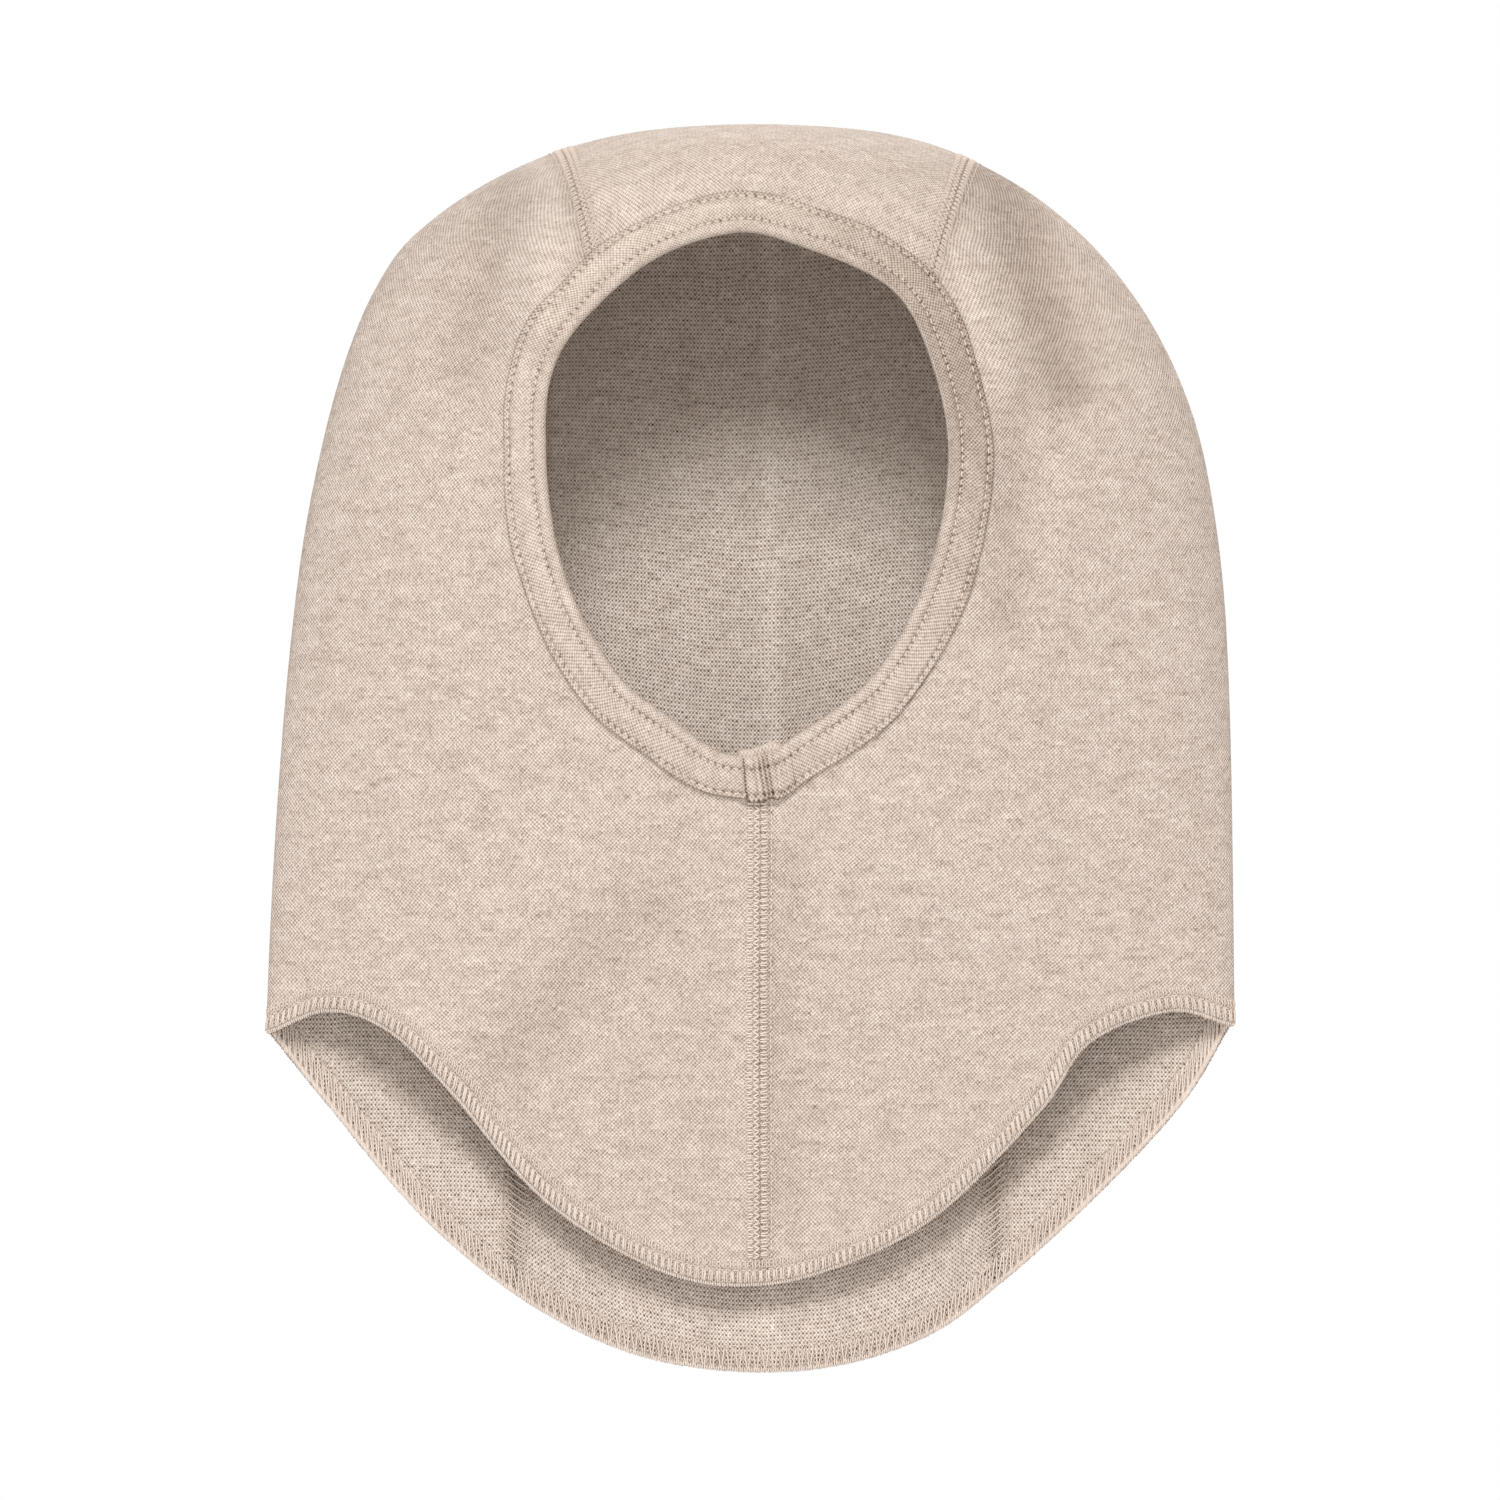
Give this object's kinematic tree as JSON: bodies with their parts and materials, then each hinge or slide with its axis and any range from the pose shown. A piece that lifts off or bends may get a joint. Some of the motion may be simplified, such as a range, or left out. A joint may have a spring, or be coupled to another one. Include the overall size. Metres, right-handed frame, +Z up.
{
  "type": "balaclava",
  "caption": "Child's knitted balaclava: side panels and a long centre panel joined by flatlock seams, a bound oval face opening and a curved, overlocked neck edge.",
  "frame": {"origin": "mount head, the middle of the head space level with the middle of the face opening", "axes": "+Z up to the crown as worn, -Y out through the face opening, +X to the wearer's left"},
  "size_m": [0.2415, 0.0832, 0.3098],
  "materials": {
    "heather_jersey": "matte heathered single jersey",
    "binding_jersey": "matte heathered jersey tape, wales across the band",
    "sewing_thread": "soft matte multifilament thread"
  },
  "bodies": {
    "root": {"left_side_panel": "heather_jersey", "right_side_panel": "heather_jersey", "centre_panel": "heather_jersey", "face_binding": "binding_jersey", "binding_join": "binding_jersey", "binding_needle_thread_inner": "sewing_thread", "binding_needle_thread_outer": "sewing_thread", "binding_looper_thread": "sewing_thread", "centre_front_seam_thread": "sewing_thread", "left_crown_seam_thread": "sewing_thread", "right_crown_seam_thread": "sewing_thread", "hem_overlock_thread": "sewing_thread", "hem_needle_thread": "sewing_thread"}
  },
  "joints": []
}
